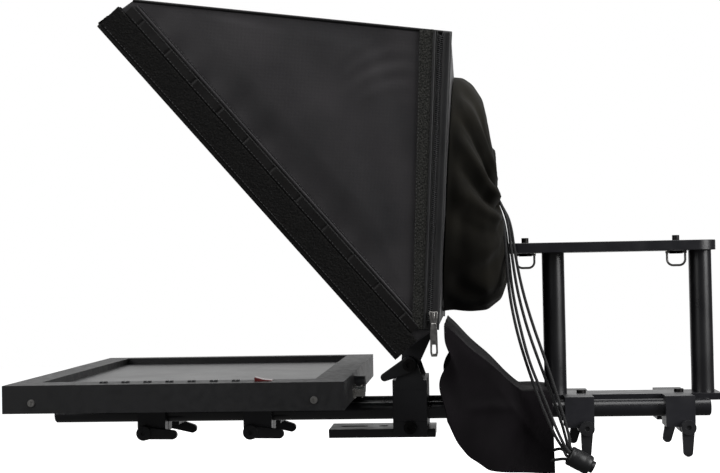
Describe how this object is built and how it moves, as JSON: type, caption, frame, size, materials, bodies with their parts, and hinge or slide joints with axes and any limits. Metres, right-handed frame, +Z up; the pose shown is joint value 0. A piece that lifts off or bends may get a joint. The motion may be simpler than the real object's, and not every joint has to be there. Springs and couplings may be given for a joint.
{
  "type": "teleprompter",
  "caption": "Rod-mounted teleprompter with a flat monitor, sloping beam-splitter glass under a cloth hood, gathered lens sock and raised camera plate.",
  "frame": {"origin": "centre of the tripod thread in the underside of the tripod plate", "axes": "+X along the rods from the monitor to the camera, +Y across the rods, +Z up"},
  "size_m": [0.5944, 0.3642, 0.3948],
  "materials": {
    "black_anodised": "satin black anodised",
    "black_steel": "black oxide",
    "ring_steel": "plain bright",
    "cloth": "coated woven nylon",
    "sock_cotton": "brushed cotton",
    "elastic": "braided elastic",
    "beam_splitter_glass": "half-mirror coated",
    "monitor_paint": "fine textured black paint",
    "screen": "matte panel, switched off",
    "board": "printed circuit board",
    "connector": "nickel plated",
    "black_plastic": "moulded",
    "rocker_red": "translucent dark red"
  },
  "bodies": {
    "tripod": {"tripod_plate": "black_anodised"},
    "chassis": {"centre_block": "black_anodised", "dovetail_jaw": "black_anodised", "block_screws": "black_steel", "rods": "black_anodised", "rod_joiners": "black_steel", "hinge_base": "black_anodised", "hinge_bolt": "black_steel", "skirt": "cloth", "drawstring_front": "elastic", "drawstring_back": "elastic", "drawstring_tail": "elastic", "cord_lock": "black_plastic"},
    "hinge_lever": {"hinge_lever": "black_plastic"},
    "monitor": {"monitor_housing": "monitor_paint", "monitor_back": "monitor_paint", "screen_panel": "screen", "control_board": "board", "mounting_rails": "black_anodised", "monitor_crossbars": "black_anodised", "housing_screws": "ring_steel", "power_inlet": "black_plastic", "video_socket": "connector"},
    "power_rocker": {"power_rocker": "rocker_red"},
    "riser": {"riser_base": "black_anodised", "riser_posts": "black_anodised", "camera_plate": "black_anodised", "riser_crossbars": "black_anodised", "riser_screws": "black_steel"},
    "hood": {"glass_frame": "black_anodised", "beam_splitter": "beam_splitter_glass", "glass_retainers": "black_anodised", "rear_hoop": "black_anodised", "hinge_arms": "black_anodised", "hood_panels": "cloth", "hood_rear_panel": "cloth", "lens_sock": "sock_cotton"},
    "zipper_slider": {"zipper_slider": "ring_steel"},
    "cord_lock_button": {"cord_lock_button": "black_plastic"},
    "menu_button_1": {"menu_button_1": "black_plastic"},
    "menu_button_2": {"menu_button_2": "black_plastic"},
    "menu_button_3": {"menu_button_3": "black_plastic"},
    "menu_button_4": {"menu_button_4": "black_plastic"},
    "menu_button_5": {"menu_button_5": "black_plastic"},
    "menu_button_6": {"menu_button_6": "black_plastic"},
    "menu_button_7": {"menu_button_7": "black_plastic"},
    "monitor_lever_1_near": {"monitor_lever_1_near": "black_plastic"},
    "monitor_lever_1_far": {"monitor_lever_1_far": "black_plastic"},
    "monitor_lever_2_near": {"monitor_lever_2_near": "black_plastic"},
    "monitor_lever_2_far": {"monitor_lever_2_far": "black_plastic"},
    "riser_lever_1_near": {"riser_lever_1_near": "black_plastic"},
    "riser_lever_1_far": {"riser_lever_1_far": "black_plastic"},
    "riser_lever_2_near": {"riser_lever_2_near": "black_plastic"},
    "riser_lever_2_far": {"riser_lever_2_far": "black_plastic"},
    "front_screw_washer": {"front_screw_washer": "black_steel"},
    "front_camera_screw": {"front_camera_screw": "black_steel"},
    "front_screw_ring": {"front_screw_ring": "ring_steel"},
    "rear_screw_washer": {"rear_screw_washer": "black_steel"},
    "rear_camera_screw": {"rear_camera_screw": "black_steel"},
    "rear_screw_ring": {"rear_screw_ring": "ring_steel"}
  },
  "joints": [
    {"name": "balance_slide", "type": "slide", "parent": "tripod", "child": "chassis", "axis": [1, 0, 0], "range_m": [-0.055, 0.005]},
    {"name": "monitor_slide", "type": "slide", "parent": "chassis", "child": "monitor", "axis": [1, 0, 0], "range_m": [-0.07, 0.012]},
    {"name": "riser_slide", "type": "slide", "parent": "chassis", "child": "riser", "axis": [1, 0, 0], "range_m": [0, 0.015]},
    {"name": "hood_tilt", "type": "hinge", "parent": "chassis", "child": "hood", "pos_m": [0.026, 0, 0.0659], "axis": [0, -1, 0], "range_deg": [0, 25]},
    {"name": "hinge_lever_turn", "type": "hinge", "parent": "chassis", "child": "hinge_lever", "pos_m": [0.026, -0.0445, 0.0659], "axis": [0, -1, 0], "range_deg": [-40, 110]},
    {"name": "menu_button_1_press", "type": "slide", "parent": "monitor", "child": "menu_button_1", "axis": [0, 0, -1], "range_m": [0, 0.001], "stiffness_N_per_m": 600},
    {"name": "menu_button_2_press", "type": "slide", "parent": "monitor", "child": "menu_button_2", "axis": [0, 0, -1], "range_m": [0, 0.001], "stiffness_N_per_m": 600},
    {"name": "menu_button_3_press", "type": "slide", "parent": "monitor", "child": "menu_button_3", "axis": [0, 0, -1], "range_m": [0, 0.001], "stiffness_N_per_m": 600},
    {"name": "menu_button_4_press", "type": "slide", "parent": "monitor", "child": "menu_button_4", "axis": [0, 0, -1], "range_m": [0, 0.001], "stiffness_N_per_m": 600},
    {"name": "menu_button_5_press", "type": "slide", "parent": "monitor", "child": "menu_button_5", "axis": [0, 0, -1], "range_m": [0, 0.001], "stiffness_N_per_m": 600},
    {"name": "menu_button_6_press", "type": "slide", "parent": "monitor", "child": "menu_button_6", "axis": [0, 0, -1], "range_m": [0, 0.001], "stiffness_N_per_m": 600},
    {"name": "menu_button_7_press", "type": "slide", "parent": "monitor", "child": "menu_button_7", "axis": [0, 0, -1], "range_m": [0, 0.001], "stiffness_N_per_m": 600},
    {"name": "power_rocker_switch", "type": "hinge", "parent": "monitor", "child": "power_rocker", "pos_m": [-0.086, -0.156, 0.0614], "axis": [0, -1, 0], "range_deg": [0, 8]},
    {"name": "monitor_lever_1_near_turn", "type": "hinge", "parent": "monitor", "child": "monitor_lever_1_near", "pos_m": [-0.2088, -0.0475, 0.0093], "axis": [0, -1, 0], "range_deg": [-80, 80]},
    {"name": "monitor_lever_1_far_turn", "type": "hinge", "parent": "monitor", "child": "monitor_lever_1_far", "pos_m": [-0.2088, 0.0475, 0.0093], "axis": [0, -1, 0], "range_deg": [-80, 80]},
    {"name": "monitor_lever_2_near_turn", "type": "hinge", "parent": "monitor", "child": "monitor_lever_2_near", "pos_m": [-0.114, -0.0475, 0.0093], "axis": [0, -1, 0], "range_deg": [-80, 80]},
    {"name": "monitor_lever_2_far_turn", "type": "hinge", "parent": "monitor", "child": "monitor_lever_2_far", "pos_m": [-0.114, 0.0475, 0.0093], "axis": [0, -1, 0], "range_deg": [-80, 80]},
    {"name": "riser_lever_1_near_turn", "type": "hinge", "parent": "riser", "child": "riser_lever_1_near", "pos_m": [0.1787, -0.0475, 0.0093], "axis": [0, -1, 0], "range_deg": [0, 90]},
    {"name": "riser_lever_1_far_turn", "type": "hinge", "parent": "riser", "child": "riser_lever_1_far", "pos_m": [0.1787, 0.0475, 0.0093], "axis": [0, -1, 0], "range_deg": [-80, 80]},
    {"name": "riser_lever_2_near_turn", "type": "hinge", "parent": "riser", "child": "riser_lever_2_near", "pos_m": [0.265, -0.0475, 0.0093], "axis": [0, -1, 0], "range_deg": [-80, 80]},
    {"name": "riser_lever_2_far_turn", "type": "hinge", "parent": "riser", "child": "riser_lever_2_far", "pos_m": [0.265, 0.0475, 0.0093], "axis": [0, -1, 0], "range_deg": [-80, 80]},
    {"name": "front_screw_slide", "type": "slide", "parent": "riser", "child": "front_screw_washer", "axis": [1, 0, 0], "range_m": [-0.006, 0.0025]},
    {"name": "front_screw_turn", "type": "hinge", "parent": "front_screw_washer", "child": "front_camera_screw", "pos_m": [0.131, 0, 0.165], "axis": [0, 0, 1], "continuous": true},
    {"name": "front_ring_fold", "type": "hinge", "parent": "front_camera_screw", "child": "front_screw_ring", "pos_m": [0.131, 0, 0.16055], "axis": [1, 0, 0], "range_deg": [-80, 80]},
    {"name": "rear_screw_slide", "type": "slide", "parent": "riser", "child": "rear_screw_washer", "axis": [1, 0, 0], "range_m": [-0.0885, 0.0005]},
    {"name": "rear_screw_turn", "type": "hinge", "parent": "rear_screw_washer", "child": "rear_camera_screw", "pos_m": [0.265, 0, 0.165], "axis": [0, 0, 1], "continuous": true},
    {"name": "rear_ring_fold", "type": "hinge", "parent": "rear_camera_screw", "child": "rear_screw_ring", "pos_m": [0.265, 0, 0.16055], "axis": [1, 0, 0], "range_deg": [-80, 80]},
    {"name": "zipper_run", "type": "slide", "parent": "hood", "child": "zipper_slider", "axis": [0.0647, -0.1104, 0.9918], "range_m": [0, 0.2]},
    {"name": "cord_lock_press", "type": "slide", "parent": "chassis", "child": "cord_lock_button", "axis": [-0.8829, 0, 0.4695], "range_m": [0, 0.0018], "stiffness_N_per_m": 800}
  ]
}
